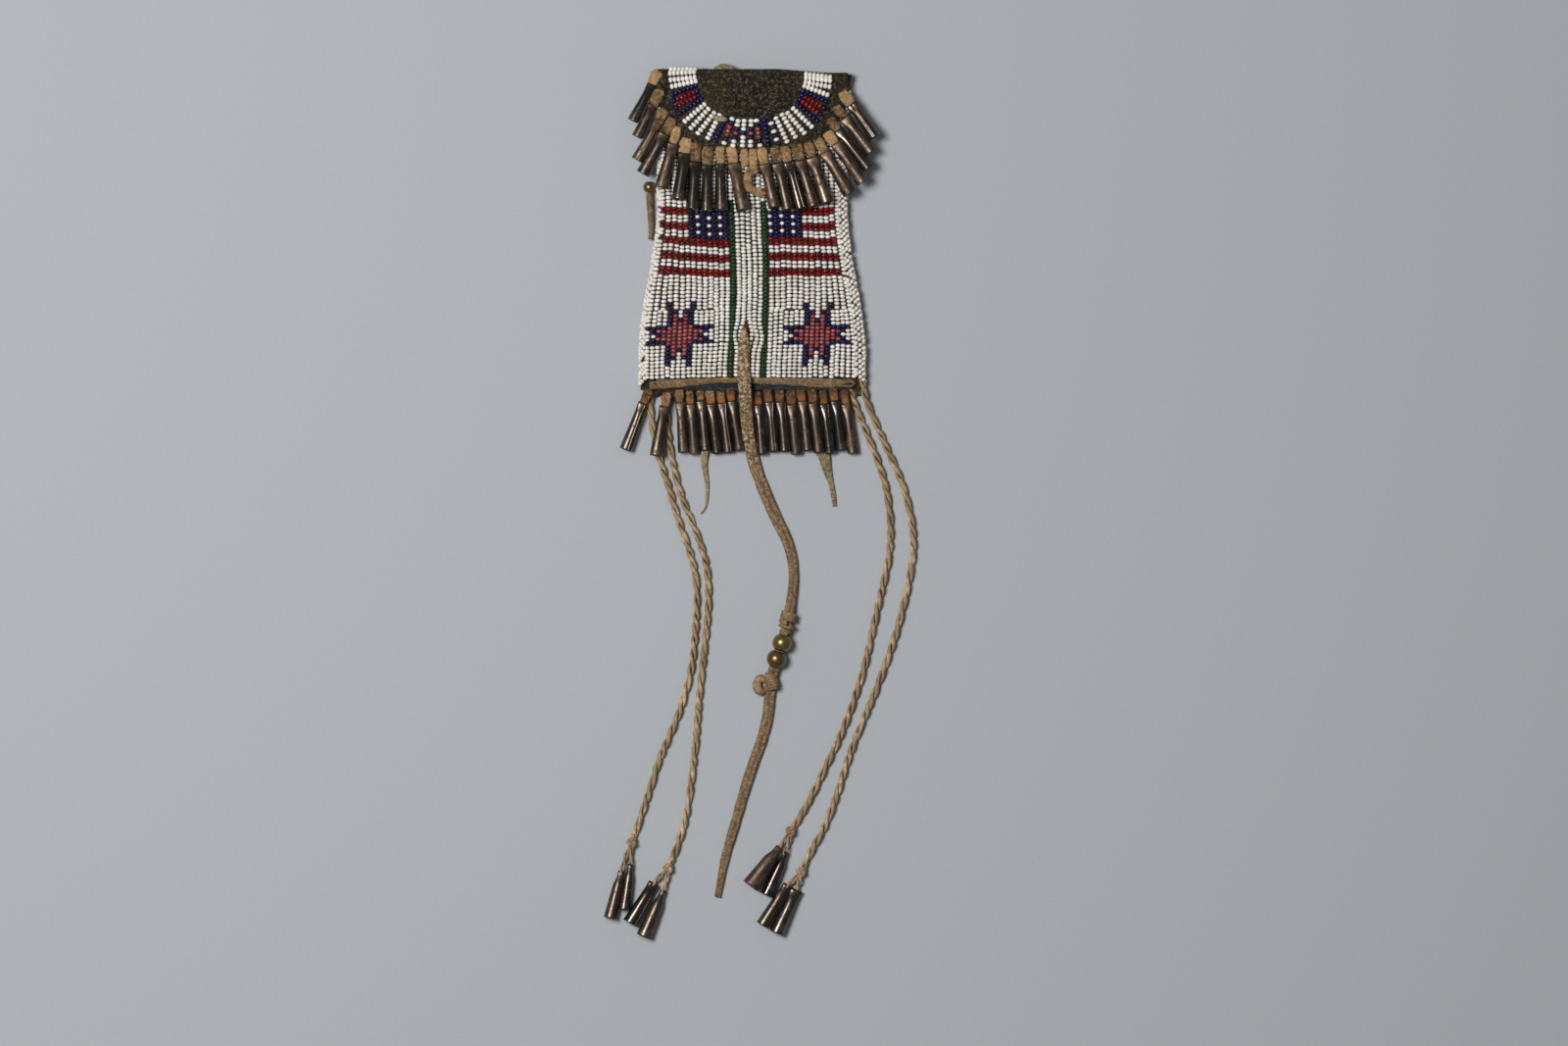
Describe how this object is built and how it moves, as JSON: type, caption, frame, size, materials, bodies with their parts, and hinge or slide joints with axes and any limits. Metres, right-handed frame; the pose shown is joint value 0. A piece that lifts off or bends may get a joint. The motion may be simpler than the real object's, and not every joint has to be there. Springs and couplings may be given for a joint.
{
  "type": "strike-a-light bag",
  "caption": "Flat beaded hide pouch with a hinged D-shaped flap, rolled tin cones on the flap and along the hem, twisted thongs and a flat tie thong.",
  "frame": {"origin": "middle of the back hide's flat outer face, on the table", "axes": "+X to the right, +Y up the bag towards the flap's fold, +Z out of the beaded front"},
  "size_m": [0.1108, 0.3079, 0.0129],
  "materials": {
    "tan_hide": "worn suede",
    "dark_hide": "worn suede",
    "white_beads": "glossy seed beads",
    "lining": "matt",
    "tin": "dull patina",
    "brass": "worn",
    "thong": "suede"
  },
  "bodies": {
    "pouch": {"bottom_hem": "tan_hide", "front_beadwork": "white_beads", "hem_lining": "lining", "pendant_cones_left_inner": "tin", "pendant_cones_left_outer": "tin", "pendant_cones_right_inner": "tin", "pendant_cones_right_outer": "tin", "pouch_back": "tan_hide", "pouch_front": "dark_hide", "side_bead": "brass", "side_beading_left": "white_beads", "side_beading_right": "white_beads", "side_thong": "thong", "tie_bead_lower": "brass", "tie_bead_upper": "brass", "tie_thong": "thong", "twisted_thong_left_inner": "thong", "twisted_thong_left_outer": "thong", "twisted_thong_right_inner": "thong", "twisted_thong_right_outer": "thong"},
    "flap": {"flap_hide": "dark_hide", "flap_beadwork": "white_beads", "flap_loop": "thong"},
    "flap_cone_01_body": {"flap_cone_01": "tin"},
    "flap_cone_02_body": {"flap_cone_02": "tin"},
    "flap_cone_03_body": {"flap_cone_03": "tin"},
    "flap_cone_04_body": {"flap_cone_04": "tin"},
    "flap_cone_05_body": {"flap_cone_05": "tin"},
    "flap_cone_06_body": {"flap_cone_06": "tin"},
    "flap_cone_07_body": {"flap_cone_07": "tin"},
    "flap_cone_08_body": {"flap_cone_08": "tin"},
    "flap_cone_09_body": {"flap_cone_09": "tin"},
    "flap_cone_10_body": {"flap_cone_10": "tin"},
    "flap_cone_11_body": {"flap_cone_11": "tin"},
    "flap_cone_12_body": {"flap_cone_12": "tin"},
    "flap_cone_13_body": {"flap_cone_13": "tin"},
    "flap_cone_14_body": {"flap_cone_14": "tin"},
    "flap_cone_15_body": {"flap_cone_15": "tin"},
    "flap_cone_16_body": {"flap_cone_16": "tin"},
    "flap_cone_17_body": {"flap_cone_17": "tin"},
    "flap_cone_18_body": {"flap_cone_18": "tin"},
    "flap_cone_19_body": {"flap_cone_19": "tin"},
    "flap_cone_20_body": {"flap_cone_20": "tin"},
    "fringe_cone_01_body": {"fringe_cone_01": "tin"},
    "fringe_cone_02_body": {"fringe_cone_02": "tin"},
    "fringe_cone_03_body": {"fringe_cone_03": "tin"},
    "fringe_cone_04_body": {"fringe_cone_04": "tin"},
    "fringe_cone_05_body": {"fringe_cone_05": "tin"},
    "fringe_cone_06_body": {"fringe_cone_06": "tin"},
    "fringe_cone_07_body": {"fringe_cone_07": "tin"},
    "fringe_cone_08_body": {"fringe_cone_08": "tin"},
    "fringe_cone_09_body": {"fringe_cone_09": "tin"},
    "fringe_cone_10_body": {"fringe_cone_10": "tin"},
    "fringe_cone_11_body": {"fringe_cone_11": "tin"},
    "fringe_cone_12_body": {"fringe_cone_12": "tin"},
    "fringe_cone_13_body": {"fringe_cone_13": "tin"},
    "fringe_cone_14_body": {"fringe_cone_14": "tin"},
    "fringe_cone_15_body": {"fringe_cone_15": "tin"},
    "fringe_cone_16_body": {"fringe_cone_16": "tin"},
    "fringe_cone_17_body": {"fringe_cone_17": "tin"}
  },
  "joints": [
    {"name": "flap_hinge", "type": "hinge", "parent": "pouch", "child": "flap", "pos_m": [0, 0.054, 0.0087], "axis": [-1, 0, 0], "range_deg": [0, 150]},
    {"name": "flap_cone_01_swing", "type": "hinge", "parent": "flap", "child": "flap_cone_01_body", "pos_m": [-0.03502, 0.04965, 0.0066], "axis": [-0.887, 0.4617, 0], "range_deg": [0, 45]},
    {"name": "flap_cone_02_swing", "type": "hinge", "parent": "flap", "child": "flap_cone_02_body", "pos_m": [-0.03476, 0.04218, 0.00681], "axis": [-0.8965, 0.4431, 0], "range_deg": [0, 45]},
    {"name": "flap_cone_03_swing", "type": "hinge", "parent": "flap", "child": "flap_cone_03_body", "pos_m": [-0.03293, 0.03597, 0.00743], "axis": [-0.866, 0.5, 0], "range_deg": [0, 45]},
    {"name": "flap_cone_04_swing", "type": "hinge", "parent": "flap", "child": "flap_cone_04_body", "pos_m": [-0.03053, 0.03229, 0.00792], "axis": [-0.8771, 0.4802, 0], "range_deg": [0, 45]},
    {"name": "flap_cone_05_swing", "type": "hinge", "parent": "flap", "child": "flap_cone_05_body", "pos_m": [-0.02776, 0.02881, 0.00819], "axis": [-0.9677, 0.2521, 0], "range_deg": [0, 45]},
    {"name": "flap_cone_06_swing", "type": "hinge", "parent": "flap", "child": "flap_cone_06_body", "pos_m": [-0.02352, 0.02537, 0.0086], "axis": [-0.9903, 0.1392, 0], "range_deg": [0, 45]},
    {"name": "flap_cone_07_swing", "type": "hinge", "parent": "flap", "child": "flap_cone_07_body", "pos_m": [-0.0198, 0.02225, 0.00885], "axis": [-0.9976, 0.0698, 0], "range_deg": [0, 45]},
    {"name": "flap_cone_08_swing", "type": "hinge", "parent": "flap", "child": "flap_cone_08_body", "pos_m": [-0.01567, 0.02123, 0.009], "axis": [-0.9998, 0.0175, 0], "range_deg": [0, 45]},
    {"name": "flap_cone_09_swing", "type": "hinge", "parent": "flap", "child": "flap_cone_09_body", "pos_m": [-0.01111, 0.02155, 0.00908], "axis": [-0.9998, -0.0175, 0], "range_deg": [0, 45]},
    {"name": "flap_cone_10_swing", "type": "hinge", "parent": "flap", "child": "flap_cone_10_body", "pos_m": [-0.00662, 0.02193, 0.0091], "axis": [-0.9781, -0.2079, 0], "range_deg": [0, 45]},
    {"name": "flap_cone_11_swing", "type": "hinge", "parent": "flap", "child": "flap_cone_11_body", "pos_m": [0.00433, 0.02158, 0.0091], "axis": [-0.974, -0.2267, 0], "range_deg": [0, 45]},
    {"name": "flap_cone_12_swing", "type": "hinge", "parent": "flap", "child": "flap_cone_12_body", "pos_m": [0.0089, 0.02195, 0.0091], "axis": [-0.9759, -0.2181, 0], "range_deg": [0, 45]},
    {"name": "flap_cone_13_swing", "type": "hinge", "parent": "flap", "child": "flap_cone_13_body", "pos_m": [0.01259, 0.02232, 0.00908], "axis": [-0.9655, -0.2605, 0], "range_deg": [0, 45]},
    {"name": "flap_cone_14_swing", "type": "hinge", "parent": "flap", "child": "flap_cone_14_body", "pos_m": [0.01678, 0.02293, 0.00901], "axis": [-0.9588, -0.284, 0], "range_deg": [0, 45]},
    {"name": "flap_cone_15_swing", "type": "hinge", "parent": "flap", "child": "flap_cone_15_body", "pos_m": [0.02088, 0.024, 0.00887], "axis": [-0.9494, -0.314, 0], "range_deg": [0, 45]},
    {"name": "flap_cone_16_swing", "type": "hinge", "parent": "flap", "child": "flap_cone_16_body", "pos_m": [0.02533, 0.02567, 0.00869], "axis": [-0.8572, -0.515, 0], "range_deg": [0, 45]},
    {"name": "flap_cone_17_swing", "type": "hinge", "parent": "flap", "child": "flap_cone_17_body", "pos_m": [0.02902, 0.02869, 0.00835], "axis": [-0.8161, -0.5779, 0], "range_deg": [0, 45]},
    {"name": "flap_cone_18_swing", "type": "hinge", "parent": "flap", "child": "flap_cone_18_body", "pos_m": [0.03005, 0.03345, 0.008], "axis": [-0.7859, -0.6184, 0], "range_deg": [0, 45]},
    {"name": "flap_cone_19_swing", "type": "hinge", "parent": "flap", "child": "flap_cone_19_body", "pos_m": [0.03215, 0.03771, 0.00749], "axis": [-0.7869, -0.617, 0], "range_deg": [0, 45]},
    {"name": "flap_cone_20_swing", "type": "hinge", "parent": "flap", "child": "flap_cone_20_body", "pos_m": [0.03466, 0.0426, 0.00691], "axis": [-0.8181, -0.575, 0], "range_deg": [0, 45]},
    {"name": "fringe_cone_01_swing", "type": "hinge", "parent": "pouch", "child": "fringe_cone_01_body", "pos_m": [-0.0382, -0.0624, 0.0043], "axis": [-0.9349, 0.355, 0], "range_deg": [0, 45]},
    {"name": "fringe_cone_02_swing", "type": "hinge", "parent": "pouch", "child": "fringe_cone_02_body", "pos_m": [-0.0309, -0.0636, 0.0043], "axis": [-0.9862, 0.1657, 0], "range_deg": [0, 45]},
    {"name": "fringe_cone_03_swing", "type": "hinge", "parent": "pouch", "child": "fringe_cone_03_body", "pos_m": [-0.0254, -0.0622, 0.0043], "axis": [-0.9979, -0.0651, 0], "range_deg": [0, 45]},
    {"name": "fringe_cone_04_swing", "type": "hinge", "parent": "pouch", "child": "fringe_cone_04_body", "pos_m": [-0.02174, -0.06272, 0.0043], "axis": [-0.9966, -0.0828, 0], "range_deg": [0, 45]},
    {"name": "fringe_cone_05_swing", "type": "hinge", "parent": "pouch", "child": "fringe_cone_05_body", "pos_m": [-0.01808, -0.0615, 0.0043], "axis": [-0.9949, -0.1006, 0], "range_deg": [0, 45]},
    {"name": "fringe_cone_06_swing", "type": "hinge", "parent": "pouch", "child": "fringe_cone_06_body", "pos_m": [-0.01442, -0.0626, 0.0043], "axis": [-0.993, -0.1183, 0], "range_deg": [0, 45]},
    {"name": "fringe_cone_07_swing", "type": "hinge", "parent": "pouch", "child": "fringe_cone_07_body", "pos_m": [-0.01076, -0.06236, 0.0043], "axis": [-0.9907, -0.1361, 0], "range_deg": [0, 45]},
    {"name": "fringe_cone_08_swing", "type": "hinge", "parent": "pouch", "child": "fringe_cone_08_body", "pos_m": [-0.0071, -0.06159, 0.0043], "axis": [-0.9881, -0.1538, 0], "range_deg": [0, 45]},
    {"name": "fringe_cone_09_swing", "type": "hinge", "parent": "pouch", "child": "fringe_cone_09_body", "pos_m": [0.0021, -0.06286, 0.0043], "axis": [-0.9966, -0.0828, 0], "range_deg": [0, 45]},
    {"name": "fringe_cone_10_swing", "type": "hinge", "parent": "pouch", "child": "fringe_cone_10_body", "pos_m": [0.00595, -0.06193, 0.0043], "axis": [-0.9959, -0.091, 0], "range_deg": [0, 45]},
    {"name": "fringe_cone_11_swing", "type": "hinge", "parent": "pouch", "child": "fringe_cone_11_body", "pos_m": [0.0098, -0.0619, 0.0043], "axis": [-0.9951, -0.0991, 0], "range_deg": [0, 45]},
    {"name": "fringe_cone_12_swing", "type": "hinge", "parent": "pouch", "child": "fringe_cone_12_body", "pos_m": [0.01365, -0.06287, 0.0043], "axis": [-0.9942, -0.1072, 0], "range_deg": [0, 45]},
    {"name": "fringe_cone_13_swing", "type": "hinge", "parent": "pouch", "child": "fringe_cone_13_body", "pos_m": [0.0175, -0.06161, 0.0043], "axis": [-0.9933, -0.1154, 0], "range_deg": [0, 45]},
    {"name": "fringe_cone_14_swing", "type": "hinge", "parent": "pouch", "child": "fringe_cone_14_body", "pos_m": [0.02135, -0.06232, 0.0043], "axis": [-0.9923, -0.1235, 0], "range_deg": [0, 45]},
    {"name": "fringe_cone_15_swing", "type": "hinge", "parent": "pouch", "child": "fringe_cone_15_body", "pos_m": [0.0252, -0.06264, 0.0043], "axis": [-0.9913, -0.1317, 0], "range_deg": [0, 45]},
    {"name": "fringe_cone_16_swing", "type": "hinge", "parent": "pouch", "child": "fringe_cone_16_body", "pos_m": [0.02905, -0.0615, 0.0043], "axis": [-0.9902, -0.1398, 0], "range_deg": [0, 45]},
    {"name": "fringe_cone_17_swing", "type": "hinge", "parent": "pouch", "child": "fringe_cone_17_body", "pos_m": [0.0329, -0.06269, 0.0043], "axis": [-0.989, -0.1479, 0], "range_deg": [0, 45]}
  ]
}
